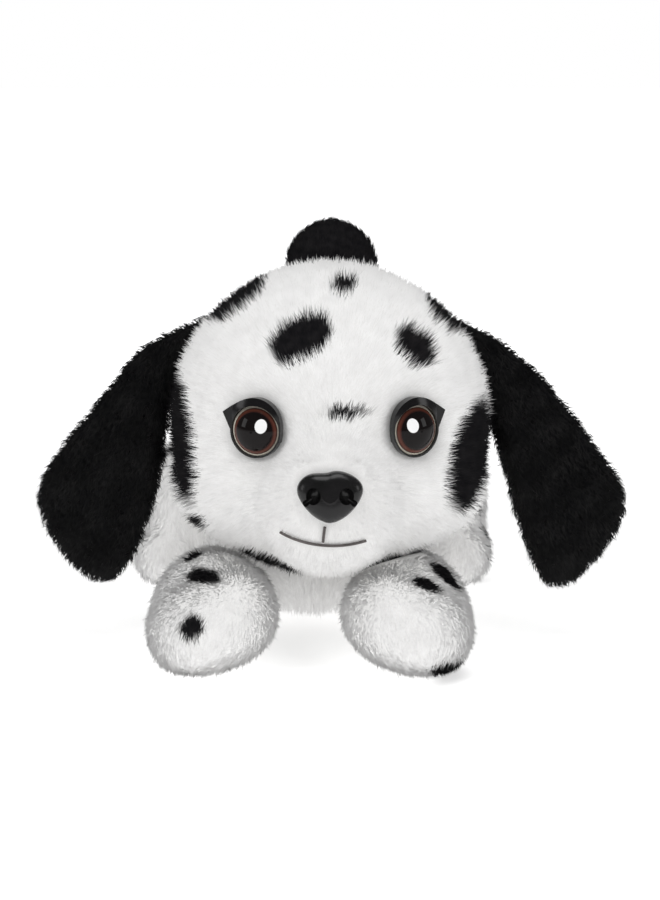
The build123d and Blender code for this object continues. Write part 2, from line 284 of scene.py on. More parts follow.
def foreleg_spots(side):
    def field(p):
        upper = smooth(p[:, 2], 24, 30)
        front = 1 - smooth(p[:, 1], FORELEG[side][1] - 74, FORELEG[side][1] - 68)
        return np.maximum(upper * darkest(p, FORELEG_SPOTS[side], LEG_SPOT_EDGE, axes=(0, 1)),
                          front * spot(p, *PAW_SPOTS[side], LEG_SPOT_EDGE))
    return field


HINDLEG_SPOTS = [((50.0, 56.0), 20, 6.0, 4.6), ((38.0, 37.0), 30, 4.6, 3.4),
                 ((66.0, 30.0), 70, 8.0, 5.0)]


FOOT_SPOT = ((40.0, 15.0), 75, 12.0, 8.0)


def hindleg_spots(side):
    """Spots on the outside of a haunch, seen from the side, and one along the left foot."""
    def field(p):
        dark = darkest(p, HINDLEG_SPOTS, LEG_SPOT_EDGE, axes=(1, 2))
        if side == "left":
            foot = spot(p, *FOOT_SPOT, LEG_SPOT_EDGE, axes=(1, 2))
            dark = np.maximum(dark, foot * smooth(p[:, 0], 70, 76))
        return dark
    return field


# ------------------------------------------------------------------ fields of the cushions
FACE_FLAT_R = 78.0                        # the face is flatter than the skull: a larger ball
CHEEKS = (np.array([0, -26, -22]), (61, 30, 31))         # place from the head, half size
NOSE_BED = (np.array([0, 9.6, 0.5]), (15.5, 10.5, 12.5))  # place from the nose, half size
SOCKET_OUT, SOCKET_R = 9.0, 15.5          # the hollow in front of each lens
SEAT_BEHIND, SEAT_R = 17.3, 13.0          # the ball of stuffing that each eye sits on


def head_field(p):
    p = HEAD + (p - HEAD) / np.array([1.02, 1.0, 1.006])
    skull = f_ball(p, HEAD, HEAD_R - SKIN_INSET)
    flat_centre = np.array([HEAD[0], FACE_FRONT + FACE_FLAT_R, HEAD[2]])
    face = meet(skull, f_ball(p, flat_centre, FACE_FLAT_R - SKIN_INSET), 6)
    face = join(face, f_egg(p, HEAD + CHEEKS[0], CHEEKS[1]), 8)
    muzzle = f_egg(p, MUZZLE, (MUZZLE_R - 1.2, MUZZLE_R - 0.3, MUZZLE_R - 1.0), 2.0)
    shape = join(face, muzzle, 7)
    shape = join(shape, f_egg(p, NOSE + NOSE_BED[0], NOSE_BED[1], 3.5), 3)
    for lens, out in EYES.values():
        socket = f_ball(p, lens + out * SOCKET_OUT, SOCKET_R)
        shape = meet(shape, -socket, 5)
        seat = f_ball(p, lens - out * SEAT_BEHIND, SEAT_R)
        shape = join(shape, seat, 2)
    return shape + 0.35 * wobble(p, 46, 3)


def mouth_distance(p):
    """Distance from the mouth line, which runs along the CAD stitch."""
    low, high = box("mouth_stitch")
    across = np.clip((p[:, 0] - low[0]) / (high[0] - low[0]), 0, 1)
    droop = 1 - (2 * across - 1.06) ** 2
    line_z = high[2] - 0.6 - (high[2] - low[2] - 1.2) * droop
    beyond = np.maximum(low[0] - p[:, 0], 0) + np.maximum(p[:, 0] - high[0], 0)
    return np.hypot(p[:, 2] - line_z, beyond)


SHOULDER_R = 19
NECK_BOWL = -1.2    # the torso's hollow for the head, against the head's own radius
ARM_BOWL = 0.8      # the same for the forelegs


def torso_field(p):
    """From the chest back to the hips, with shoulders, and a bowl that the head lies in."""
    chest = np.array([0, TORSO_LOW[1] + 32, 31.0])
    hips = np.array([0, TORSO_HIGH[1] - 42.6, 43.0])
    shape = f_pod(p, chest, 32 - SKIN_INSET, hips, 47 - SKIN_INSET)
    for side, root in FORELEG.items():
        shoulder = root + np.array([-11 * SIGN[side], 2, 7])
        shape = join(shape, f_ball(p, shoulder, SHOULDER_R), 12)
    shape = meet(shape, -f_ball(p, HEAD, HEAD_R + NECK_BOWL), 2)
    shape = meet(shape, REST_HEIGHT - p[:, 2], 5)
    return shape + 0.5 * wobble(p, 60, 5)


def tail_field(p):
    top = np.array([TAIL_LOW[0] + TAIL_HIGH[0], TAIL_LOW[1] + TAIL_HIGH[1]]) / 2
    radius = (TAIL_HIGH[0] - TAIL_LOW[0]) / 2 + 0.6
    tip = np.array([top[0] + 0.4, top[1], TAIL_HIGH[2] - radius + 2.6])
    return f_pod(p, TAIL_ROOT, 15.5 - 2.8, tip, radius - 1.4) + 0.3 * wobble(p, 30, 6)


def foreleg_field(side):
    """An arm that slopes down from the shoulder into a paw rolled onto its outer edge."""
    s = SIGN[side]
    root = FORELEG[side]
    wrist = np.array([40.5 * s, root[1] - 54, 22.5])
    paw = np.array([39.0 * s, root[1] - 77, 20.4])

    def field(p):
        arm = f_pod(p, root + np.array([0, 0, 1.5]), 15.0, wrist, 20.5)
        foot = f_egg(p, paw, (25.6, 30.0, 18.4), 2.3, roll=-21 * s)
        shape = join(arm, foot, 11)
        shape = meet(shape, REST_HEIGHT - p[:, 2], 5)
        shape = meet(shape, -f_ball(p, HEAD, HEAD_R + ARM_BOWL), 2)
        return shape + 0.4 * wobble(p, 32, 8 + s)
    return field


def hindleg_field(side):
    """A round haunch, with a foot that lies forward along the floor."""
    s = SIGN[side]
    hip = HIP[side]

    def field(p):
        haunch = f_egg(p, hip, (19.5, 29.0, 29.0), 2.2)
        foot = f_pod(p, hip + np.array([8 * s, -8, -17.5]), 12.2,
                     hip + np.array([8 * s, -27, -18]), 12.6)
        shape = join(haunch, foot, 6)
        return meet(shape, REST_HEIGHT - p[:, 2], 4) + 0.3 * wobble(p, 30, 11 + s)
    return field


# ------------------------------------------------------------------ materials
def new_material(name):
    mat = bpy.data.materials.new(name)
    mat.use_nodes = True
    nodes, links = mat.node_tree.nodes, mat.node_tree.links
    return mat, nodes, links, nodes["Principled BSDF"]


def noise(nodes, links, scale, detail=3.0):
    coords = nodes.new("ShaderNodeTexCoord")
    tex = nodes.new("ShaderNodeTexNoise")
    tex.inputs["Scale"].default_value = scale
    tex.inputs["Detail"].default_value = detail
    links.new(coords.outputs["Object"], tex.inputs["Vector"])
    return tex.outputs["Fac"]


def ramp(nodes, links, fac, stops):
    node = nodes.new("ShaderNodeValToRGB")
    elements = node.color_ramp.elements
    elements[0].position, elements[0].color = stops[0][0], (*stops[0][1], 1)
    elements[1].position, elements[1].color = stops[-1][0], (*stops[-1][1], 1)
    for position, colour in stops[1:-1]:
        elements.new(position).color = (*colour, 1)
    links.new(fac, node.inputs["Fac"])
    return node.outputs["Color"]


def plug(links, value, socket):
    """Feeds a socket from another node's output, or sets it to a colour or a number."""
    if isinstance(value, bpy.types.NodeSocket):
        links.new(value, socket)
    elif isinstance(value, tuple):
        socket.default_value = (*value, 1)
    else:
        socket.default_value = value


def mix(nodes, links, fac, a, b):
    node = nodes.new("ShaderNodeMix")
    node.data_type = "RGBA"
    plug(links, fac, node.inputs[0])
    plug(links, a, node.inputs[6])
    plug(links, b, node.inputs[7])
    return node.outputs[2]


def plush_material(name, white_low, white_high):
    """White pile with printed black spots: the mesh says how dark each fibre is."""
    mat, nodes, links, bsdf = new_material(name)
    white = ramp(nodes, links, noise(nodes, links, 160), [(0.3, white_low), (0.7, white_high)])
    black = ramp(nodes, links, noise(nodes, links, 300),
                 [(0.3, (0.004, 0.004, 0.005)), (0.7, (0.014, 0.013, 0.014))])
    dark = nodes.new("ShaderNodeAttribute")
    dark.attribute_name = "dark"
    colour = mix(nodes, links, dark.outputs["Fac"], white, black)
    links.new(colour, bsdf.inputs["Base Color"])
    bsdf.inputs["Roughness"].default_value = 0.9
    bsdf.inputs["Specular IOR Level"].default_value = 0.08
    return mat


def black_pile_material(name):
    """Black shaggy pile with a soft shine from its gloss; the lighter fibres are a painted
    shine.
    """
    mat, nodes, links, bsdf = new_material(name)
    dark = nodes.new("ShaderNodeAttribute")
    dark.attribute_name = "dark"
    deep = ramp(nodes, links, noise(nodes, links, 420),
                [(0.3, (0.002, 0.002, 0.003)), (0.7, (0.006, 0.006, 0.006))])
    # lit: fibres coloured lighter, a painted shine
    lit = ramp(nodes, links, noise(nodes, links, 420),
               [(0.3, (0.006, 0.006, 0.007)), (0.7, (0.024, 0.023, 0.023))])
    links.new(mix(nodes, links, dark.outputs["Fac"], lit, deep), bsdf.inputs["Base Color"])
    bsdf.inputs["Roughness"].default_value = 0.5
    bsdf.inputs["Specular IOR Level"].default_value = 0.16
    return mat


SKIN_MAT = plush_material("white_plush_cloth", (0.80, 0.795, 0.785), (0.87, 0.865, 0.855))
PILE_MAT = plush_material("white_plush_pile", (0.86, 0.855, 0.85), (0.95, 0.945, 0.94))
EAR_MAT = black_pile_material("black_plush_pile")


# ------------------------------------------------------------------ pile
class Surface:
    """The triangles of a finished skin, to plant fibres on."""

    def __init__(self, obj):
        obj.data.calc_loop_triangles()
        points = vertices_of(obj)
        tris = np.empty(len(obj.data.loop_triangles) * 3, dtype=int)
        obj.data.loop_triangles.foreach_get("vertices", tris)
        self.corners = points[tris.reshape(-1, 3)]
        normals = np.empty(len(points) * 3)
        obj.data.vertex_normals.foreach_get("vector", normals)
        self.normals = normals.reshape(-1, 3)[tris.reshape(-1, 3)]
        a, b, c = self.corners[:, 0], self.corners[:, 1], self.corners[:, 2]
        self.areas = np.linalg.norm(np.cross(b - a, c - a), axis=1) / 2

    def plant(self, per_mm2):
        count = int(self.areas.sum() * per_mm2)
        edges = np.cumsum(self.areas)
        pick = np.searchsorted(edges, RNG.random(count) * edges[-1])
        u, v = RNG.random(count), RNG.random(count)
        over = u + v > 1
        u, v = np.where(over, 1 - u, u), np.where(over, 1 - v, v)
        w = np.stack([1 - u - v, u, v], axis=1)[:, :, None]
        roots = (self.corners[pick] * w).sum(axis=1)
        normals = (self.normals[pick] * w).sum(axis=1)
        return roots, normals / np.linalg.norm(normals, axis=1)[:, None]


FOOT_DEPTH = 0.5                    # a fibre starts this far under the skin
KNEE_FLOOR, TIP_FLOOR = 0.6, 0.35   # the lowest that a fibre's knee and tip may lie
FOOT_RADIUS, KNEE_RADIUS = 0.5, 0.38    # for a fibre one millimetre wide
SPIKE_FACES = [(0, 1, 3), (1, 2, 3), (2, 0, 3), (2, 1, 0)]
KNEED_FACES = [(0, 1, 4), (0, 4, 3), (1, 2, 5), (1, 5, 4), (2, 0, 3), (2, 3, 5),
               (3, 4, 6), (4, 5, 6), (5, 3, 6), (2, 1, 0)]


def fur(name, surface, per_mm2, length, width, comb, lean, dark, keep=None, bent=False,
        mess=0.22):
    """Short tapered fibres standing on a skin, each a closed three-sided spike.

    comb gives the way the pile lies, lean how far it lies over in degrees, dark how black each
    fibre is, keep says which fibres stay.  A bent fibre has a knee and curves over.
    """
    roots, normals = surface.plant(per_mm2)
    if keep is not None:
        wanted = keep(roots, RNG.random(len(roots)))
        roots, normals = roots[wanted], normals[wanted]
    count = len(roots)
    way = lie(comb(roots, normals), normals, mess)
    over = np.radians(value_at(lean, roots)) * np.ones(count)
    start = leaning(normals, way, over * (0.6 if bent else 1.0))
    finish = leaning(normals, way, over * (1.5 if bent else 1.0))
    long = value_at(length, roots) * RNG.uniform(0.72, 1.18, count)
    foot = roots - normals * FOOT_DEPTH
    knee = foot + start * (long * 0.5)[:, None]
    tip = knee + finish * (long * 0.5)[:, None]
    knee[:, 2] = np.maximum(knee[:, 2], KNEE_FLOOR)
    tip[:, 2] = np.maximum(tip[:, 2], TIP_FLOOR)
    side = unit_rows(np.cross(start, normals + RNG.normal(size=(count, 3)) * 0.3))
    lift = np.cross(start, side)
    wide = width * RNG.uniform(0.8, 1.25, count)
    ring = [side * cos(radians(t)) + lift * sin(radians(t)) for t in (90, 210, 330)]
    rows = [foot + r * (wide * FOOT_RADIUS)[:, None] for r in ring]
    if bent:
        rows += [knee + r * (wide * KNEE_RADIUS)[:, None] for r in ring]
    rows.append(tip)
    mesh = fibre_mesh(name, rows, KNEED_FACES if bent else SPIKE_FACES)
    if bent:
        shade_as_skin(mesh, normals, ring + ring + [finish], 0.4)
    else:
        shade_as_skin(mesh, normals, ring + [finish], 0.2)
    obj = bpy.data.objects.new(name, mesh)
    bpy.context.collection.objects.link(obj)
    paint(obj, "dark", np.repeat(dark(roots), len(rows)))
    return obj


def value_at(value, p):
    """A plain number, or a field's value at each point."""
    return value(p) if callable(value) else value


def lie(way, normals, mess):
    """Lays the directions down along the skin, and ruffles them."""
    way = way - (way * normals).sum(axis=1)[:, None] * normals
    return unit_rows(way) + RNG.normal(size=way.shape) * mess


def leaning(normals, way, angle):
    """Unit vectors turned from the skin's normal towards way."""
    line = normals * np.cos(angle)[:, None] + way * np.sin(angle)[:, None]
    return line / np.linalg.norm(line, axis=1)[:, None]


def fibre_mesh(name, rows, pattern):
    """One mesh of many like fibres: rows holds the first corner of each, then the second..."""
    count, each = len(rows[0]), len(rows)
    points = np.stack(rows, axis=1).reshape(-1, 3)
    faces = (np.arange(count)[:, None, None] * each + np.array(pattern)).reshape(-1, 3)
    mesh = bpy.data.meshes.new(name)
    mesh.vertices.add(len(points))
    mesh.vertices.foreach_set("co", (points * MM).astype(np.float32).ravel())
    mesh.loops.add(faces.size)
    mesh.loops.foreach_set("vertex_index", faces.astype(np.int32).ravel())
    mesh.polygons.add(len(faces))
    mesh.polygons.foreach_set("loop_start", np.arange(0, faces.size, 3, dtype=np.int32))
    mesh.update(calc_edges=True)
    lay_out_cells(mesh, count, len(pattern))
    return mesh


def shade_as_skin(mesh, normals, own, own_share):
    """Shades each fibre partly as the skin it stands on, which keeps the pile soft."""
    shade = np.repeat(normals, len(own), axis=0)
    shade = shade + np.stack(own, axis=1).reshape(-1, 3) * own_share
    shade /= np.linalg.norm(shade, axis=1)[:, None]
    mesh.shade_smooth()
    mesh.normals_split_custom_set_from_vertices(shade.tolist())


def lay_out_cells(mesh, count, faces_each):
    """Gives every fibre its own small square of the texture sheet."""
    across = int(np.ceil(sqrt(count)))
    cell = 1.0 / across
    number = np.arange(count)
    corner = np.stack([number % across, number // across], axis=1) * cell
    shape = np.array([(0.2, 0.2), (0.8, 0.25), (0.5, 0.8)]) * cell
    uv = np.repeat(corner, faces_each * 3, axis=0) + np.tile(shape, (count * faces_each, 1))
    layer = mesh.uv_layers.new(name="OFBake")
    layer.data.foreach_set("uv", uv.astype(np.float32).ravel())


def comb_along(vector):
    """Pile that lies one way all over a piece."""
    def way(p, n):
        return np.tile(np.asarray(vector, float), (len(p), 1))
    return way


def finish_skin(obj, body, nodes, dark, material):
    obj.data.materials.append(material)
    paint(obj, "dark", dark(vertices_of(obj)))
    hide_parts(*nodes)
    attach(obj, body)


def finish_pile(obj, body, material):
    """The white pile throws no shadow of its own: it lets the light through to the cloth."""
    obj.visible_shadow = obj.visible_diffuse = False
    obj.data.materials.append(material)
    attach(obj, body)


# ------------------------------------------------------------------ head
def near_eye(p, gap):
    """True where a fibre would stand in front of an eye."""
    hit = np.zeros(len(p), dtype=bool)
    for lens, out in EYES.values():
        q = p - lens
        away = q - (q @ out)[:, None] * out
        hit |= (np.linalg.norm(away, axis=1) < gap) & (p[:, 1] < HEAD[1])
    return hit


def on_muzzle(p):
    """1 on the muzzle panel, 0 on the rest of the head."""
    return 1 - smooth(np.linalg.norm(p - MUZZLE, axis=1), MUZZLE_R - 0.5, MUZZLE_R + 4)


NAPE = unit([0, 0.74, -0.67])    # the way from the head's middle to where the torso hides it


def head_keep(p, luck):
    """False in front of the eyes, under the nose, on the mouth line and mostly at the nape."""
    nose = np.linalg.norm((p - NOSE)[:, [0, 2]] / np.array([11.6, 9.0]), axis=1) < 1
    nose &= p[:, 1] < NOSE[1] + 20
    mouth = (mouth_distance(p) < 0.5) & (p[:, 1] < MUZZLE[1])
    hidden = (unit_rows(p - HEAD) @ NAPE > 0.93) & (luck > 0.25)
    return ~(near_eye(p, 11.2) | nose | mouth | hidden)


def head_comb(p, n):
    """The pile lies back and outwards from the nose, and down over the cheeks and chin."""
    from_nose = unit_rows(p - (NOSE + np.array([0, 6, -2])))
    return from_nose + np.array([0, 0, -0.25])


def head_length(p):
    """Shorter on the muzzle, and shorter still near the eyes, the nose and the mouth."""
    by_eye = np.full(len(p), 99.0)
    for lens, _ in EYES.values():
        by_eye = np.minimum(by_eye, np.linalg.norm(p - lens, axis=1))
    short = smooth(by_eye, 11, 26)
    plain = 5.8 - 1.6 * on_muzzle(p)
    by_nose = smooth(np.linalg.norm(p - NOSE, axis=1), 12, 26)
    by_mouth = smooth(mouth_distance(p), 0.5, 5)
    return plain * (0.5 + 0.5 * short) * (0.45 + 0.55 * by_nose) * (0.55 + 0.45 * by_mouth)


def head_lean(p):
    """The pile stands up a little on the muzzle and round the nose."""
    return 58 - 4 * on_muzzle(p) - 10 * (1 - smooth(np.linalg.norm(p - NOSE, axis=1), 10, 60))


HEAD_NODES = ["head_gusset", "head_side_left", "head_side_right", "muzzle_panel", "chin_panel",
              "head_stuffing"]
DENSE = 1.0
FACE_END = HEAD[1] - 18    # the fine pile of the face ends here, and the coarser one begins


def head_pile(part, there, density, width):
    def keep(p, luck):
        return head_keep(p, luck) & there(p)
    pile = fur(f"head_pile_{part}", head_surface, density * DENSE, head_length, width, head_comb,
               head_lean, head_spots, keep)
    finish_pile(pile, "head", PILE_MAT)


head = swell("head_skin", HEAD + np.array([0, -14, -8]), head_field, 7)
head_surface = Surface(head)
head_pile("face", lambda p: p[:, 1] < FACE_END, 1.55, 0.5)
head_pile("back", lambda p: p[:, 1] >= FACE_END, 0.95, 0.62)
finish_skin(head, "head", HEAD_NODES, head_spots, SKIN_MAT)


# ------------------------------------------------------------------ body, tail, legs
def outside_head(p, luck):
    return np.linalg.norm(p - HEAD, axis=1) > HEAD_R + 4


def cushion(name, centre, field, level, body, nodes, dark, density, length, comb, lean=58,
            keep=None, width=0.6):
    """A soft piece of the body: its skin and its pile, both on one moving body."""
    skin = swell(f"{name}_skin", np.array(centre), field, level)
    pile = fur(f"{name}_pile", Surface(skin), density * DENSE, length, width, comb, lean, dark,
               keep)
    finish_skin(skin, body, nodes, dark, SKIN_MAT)
    finish_pile(pile, body, PILE_MAT)
    return skin, pile


cushion("torso", (0, 28, 34), torso_field, 6, "torso",
        ["torso_side_left", "torso_side_right", "chest_panel", "belly_panel", "torso_stuffing"],
        torso_spots, 0.85, 6.0, comb_along((0, 1, -0.35)),
        keep=lambda p, luck: outside_head(p, luck) & (p[:, 2] > PILE_FLOOR))

for side in ("left", "right"):
    s = SIGN[side]
    root = FORELEG[side]
    cushion(f"foreleg_{side}", root + np.array([-3 * s, -50, 3]), foreleg_field(side), 6,
            f"foreleg_{side}",
            [f"foreleg_{side}_{part}" for part in ("outer", "inner", "sole", "stuffing")],
            foreleg_spots(side), 1.75, 4.4, comb_along((0.15 * s, -0.8, -0.75)), lean=62,
            keep=lambda p, luck: outside_head(p, luck) & (p[:, 2] > PILE_FLOOR))
    hip = HIP[side]
    cushion(f"hindleg_{side}", hip + np.array([4 * s, -8, -8]), hindleg_field(side), 6,
            f"hindleg_{side}",
            [f"hindleg_{side}_{part}" for part in ("panel", "sole", "stuffing")],
            hindleg_spots(side), 0.95, 5.6, comb_along((0, -0.3, -1)), lean=55,
            keep=lambda p, luck: p[:, 2] > PILE_FLOOR)


def tail_dark(p):
    return smooth(p[:, 2] + 1.5 * wobble(p, 8, 41), TAIL_LOW[2] - 1.5, TAIL_LOW[2] + 1.5)


TAIL_NODES = ["tail_base_panel", "tail_tip_panel", "tail_stuffing"]
tail_skin = swell("tail_skin", TAIL_ROOT + np.array([2, 1, 26]), tail_field, 6)
tail_pile = fur("tail_pile", Surface(tail_skin), 1.5 * DENSE, 6.2, 0.55,
                comb_along((0, 0.1, 1)), 52, tail_dark, bent=True)
finish_skin(tail_skin, "tail", TAIL_NODES, tail_dark, SKIN_MAT)
finish_pile(tail_pile, "tail", PILE_MAT)


# ------------------------------------------------------------------ ears
# a few points round each ear: out from the middle of the head, height; a smooth line joins them
EAR_OUTLINES = {
    "right": [(47, 136), (62, 131), (80, 121), (97, 101), (114, 80), (123.5, 60), (115, 38),
              (99, 25), (89, 28), (79, 45), (71, 70), (66, 98), (58, 122)],
    "left": [(48, 136), (61, 131), (78, 120), (98, 100), (115, 77), (124.5, 62), (121, 44),
             (102, 24), (91, 25), (80, 47), (71, 74), (64, 100), (57, 122)],
}


def smooth_line(points, steps=5):
    """A closed smooth line through points (Catmull-Rom)."""
    p = np.array(points, float)
    line = []
    for i in range(len(p)):
        a, b, c, d = p[i - 1], p[i], p[(i + 1) % len(p)], p[(i + 2) % len(p)]
        for t in np.arange(steps) / steps:
            line.append(0.5 * (2 * b + (c - a) * t + (2 * a - 5 * b + 4 * c - d) * t**2
                               + (3 * b - 3 * c + d - a) * t**3))
    return line


def evaluated_copy(obj):
    """Applies every modifier."""
    graph = bpy.context.evaluated_depsgraph_get()
    mesh = bpy.data.meshes.new_from_object(obj.evaluated_get(graph))
    obj.modifiers.clear()
    old, obj.data = obj.data, mesh
    bpy.data.meshes.remove(old)


PUFF_FRAMES = 20


def puff(obj, held, pressure, cap):
    """Blows the cloth up with a cloth simulation, by cap at most; held vertices stay put."""
    before = vertices_of(obj)
    group = obj.vertex_groups.new(name="sewn")
    group.add([int(i) for i in np.flatnonzero(held(before))], 1.0, "ADD")
    cloth = obj.modifiers.new("Cloth", "CLOTH")
    cloth.settings.vertex_group_mass = "sewn"
    cloth.settings.use_pressure = True
    cloth.settings.uniform_pressure_force = pressure
    cloth.settings.mass = 0.2
    cloth.settings.tension_stiffness = 25
    cloth.settings.compression_stiffness = 25
    cloth.settings.bending_stiffness = 0.3
    cloth.settings.effector_weights.gravity = 0
    cloth.point_cache.frame_start = 1
    cloth.point_cache.frame_end = PUFF_FRAMES
    for number in range(1, PUFF_FRAMES + 1):
        bpy.context.scene.frame_set(number)
    graph = bpy.context.evaluated_depsgraph_get()
    done = obj.evaluated_get(graph).to_mesh()
    flat = np.empty(len(done.vertices) * 3)
    done.vertices.foreach_get("co", flat)
    moved = flat.reshape(-1, 3) / MM - before
    moved *= np.minimum(1, cap / (np.linalg.norm(moved, axis=1) + 1e-9))[:, None]
    obj.modifiers.clear()
    obj.vertex_groups.clear()
    bpy.context.scene.frame_set(1)
    move_vertices(obj, before + moved)


EAR_HALF_THICK = 2.4    # before the flap is puffed up
EAR_VOXEL = 2.4
EAR_SEWN = 62           # nearer than this to the middle of the head, the flap is sewn down
EAR_LENGTH = 110


def ear_flap(side, plane_y):
    """A flat slab with the ear's outline, remeshed evenly and smoothed."""
    bm = bmesh.new()
    corners = [bm.verts.new((HEAD[0] + SIGN[side] * out, plane_y - EAR_HALF_THICK, z))
               for out, z in smooth_line(EAR_OUTLINES[side])]
    face = bm.faces.new(corners)
    raised = bmesh.ops.extrude_face_region(bm, geom=[face])["geom"]
    for v in raised:
        if isinstance(v, bmesh.types.BMVert):
            v.co.y += 2 * EAR_HALF_THICK
    bmesh.ops.recalc_face_normals(bm, faces=bm.faces)
    bm.verts.index_update()
    points = [v.co[:] for v in bm.verts]
    faces = [[v.index for v in f.verts] for f in bm.faces]
    bm.free()
    obj = mesh_from(f"ear_{side}_skin", points, faces)
    remesh = obj.modifiers.new("Remesh", "REMESH")
    remesh.mode = "VOXEL"
    remesh.voxel_size = EAR_VOXEL * MM
    calm = obj.modifiers.new("Smooth", "SMOOTH")
    calm.factor, calm.iterations = 0.5, 6
    evaluated_copy(obj)
    return obj


def bow(obj, side, hinge):
    """Hangs the flap in a shallow bow, its lower end a little forward, its edge turned back."""
    p = vertices_of(obj)
    drop = np.clip((hinge[2] - p[:, 2]) / EAR_LENGTH, 0, 1)
    out = (np.abs(p[:, 0] - HEAD[0]) - 60) / 60
    ruffle = 1.2 * wobble(p, 55, 50 + SIGN[side])
    p[:, 1] += -7 * drop**2 + 5 * out**2 * np.sign(out) + ruffle
    move_vertices(obj, p)


def hang(piece, side, axis):
    """Bakes the placement of a piece of the ear into its mesh; it is neither bent at the hinge
    nor joined to the head's body.
    """
    across = unit(np.cross(axis, [0, 1, 0]))
    if across[0] * SIGN[side] < 0:
        across = -across
    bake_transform(piece)


def ear(side):
    s = SIGN[side]
    hinge, axis = joint(f"ear_{side}_fold")
    obj = ear_flap(side, middle(f"ear_{side}_lining", f"ear_{side}_back")[1])
    puff(obj, lambda p: np.abs(p[:, 0] - HEAD[0]) < EAR_SEWN, 2.5, 3.0)
    obj.modifiers.new("Subdivision", "SUBSURF").levels = 1
    evaluated_copy(obj)
    bow(obj, side, hinge)
    obj.data.shade_smooth()

    # how dark each ear fibre is: the lighter patches are a painted shine
    def shine(p):
        return 0.35 + 0.65 * smooth(wobble(p, 16, 60 + s) + RNG.normal(size=len(p)) * 0.25,
                                    -0.5, 0.3)

    pile = fur(f"ear_{side}_pile", Surface(obj), 1.9 * DENSE, 4.8, 0.42,
               comb_along((0.42 * s, -0.05, -0.9)), 58, shine, bent=True, mess=0.34,
               keep=lambda p, luck: (np.abs(p[:, 0] - HEAD[0]) > 50) | (luck > 0.8))
    obj.data.materials.append(EAR_MAT)
    paint(obj, "dark", np.ones(len(obj.data.vertices)))
    pile.data.materials.append(EAR_MAT)
    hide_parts(f"ear_{side}_lining", f"ear_{side}_back")
    hang(obj, side, axis)
    hang(pile, side, axis)


for side in ("left", "right"):
    ear(side)


# ------------------------------------------------------------------ moulded parts and thread
def set_material(node, mat):
    obj = frame["nodes"][node]
    for part_slot in obj.material_slots:
        part_slot.material = mat
    if not obj.material_slots:
        obj.data.materials.append(mat)


def bump(nodes, links, bsdf, height, strength, distance):
    node = nodes.new("ShaderNodeBump")
    node.inputs["Strength"].default_value = strength
    node.inputs["Distance"].default_value = distance
    links.new(height, node.inputs["Height"])
    links.new(node.outputs["Normal"], bsdf.inputs["Normal"])


def moulded(name, low, high, rough, grain, strength, coat=0.0):
    """Moulded plastic: a little mottling in colour and shine, and a fine grain."""
    mat, nodes, links, bsdf = new_material(name)
    links.new(ramp(nodes, links, noise(nodes, links, 90), [(0.3, low), (0.7, high)]),
              bsdf.inputs["Base Color"])
    value = nodes.new("ShaderNodeMapRange")
    value.inputs["To Min"].default_value = rough * 0.85
    value.inputs["To Max"].default_value = rough * 1.2
    links.new(noise(nodes, links, 220), value.inputs["Value"])
    links.new(value.outputs["Result"], bsdf.inputs["Roughness"])
    bsdf.inputs["Coat Weight"].default_value = coat
    bsdf.inputs["Coat Roughness"].default_value = 0.05
    bump(nodes, links, bsdf, noise(nodes, links, grain, 4), strength, 0.0004)
    return mat


def offset_along(nodes, links, point, direction):
    """How far the shaded point lies from point along direction, in millimetres."""
    coords = nodes.new("ShaderNodeTexCoord")
    away = nodes.new("ShaderNodeVectorMath")
    away.operation = "SUBTRACT"
    links.new(coords.outputs["Object"], away.inputs[0])
    away.inputs[1].default_value = tuple(point * MM)
    dot = nodes.new("ShaderNodeVectorMath")
    dot.operation = "DOT_PRODUCT"
    links.new(away.outputs["Vector"], dot.inputs[0])
    dot.inputs[1].default_value = tuple(direction / MM)
    return dot.outputs["Value"]


def calc(nodes, links, operation, a, b):
    node = nodes.new("ShaderNodeMath")
    node.operation = operation
    plug(links, a, node.inputs[0])
    plug(links, b, node.inputs[1])
    return node.outputs[0]


def distance(nodes, links, a, b):
    """The square root of a squared plus b squared."""
    square = calc(nodes, links, "ADD", calc(nodes, links, "MULTIPLY", a, a),
                  calc(nodes, links, "MULTIPLY", b, b))
    return calc(nodes, links, "SQRT", square, 0)


PRINT_R = 10.1                             # the printed disc under the lens
PRINT_RINGS = [                            # share of the radius, colour
    (0.0, (0.003, 0.003, 0.003)), (0.745, (0.004, 0.003, 0.003)),
    (0.775, (0.045, 0.014, 0.010)), (0.84, (0.125, 0.040, 0.026)),
    (0.885, (0.075, 0.024, 0.017)), (0.905, (0.02, 0.012, 0.01)),
    (0.925, (0.80, 0.74, 0.62)), (1.0, (0.86, 0.81, 0.72))]
HIGHLIGHT_INWARD, HIGHLIGHT_UP = 3.3, 2.4       # from the middle of the disc
HIGHLIGHT_WIDE, HIGHLIGHT_TALL = 2.35, 2.8      # half sizes


def highlight(nodes, links, u, v):
    """1 inside the printed white highlight, 0 outside it."""
    du = calc(nodes, links, "ADD", u, HIGHLIGHT_INWARD)
    dv = calc(nodes, links, "SUBTRACT", v, HIGHLIGHT_UP)
    reach = distance(nodes, links, calc(nodes, links, "DIVIDE", du, HIGHLIGHT_WIDE),
                     calc(nodes, links, "DIVIDE", dv, HIGHLIGHT_TALL))
    inside = nodes.new("ShaderNodeMapRange")
    inside.inputs["From Min"].default_value = 1.03
    inside.inputs["From Max"].default_value = 0.97
    links.new(reach, inside.inputs["Value"])
    return inside.outputs["Result"]


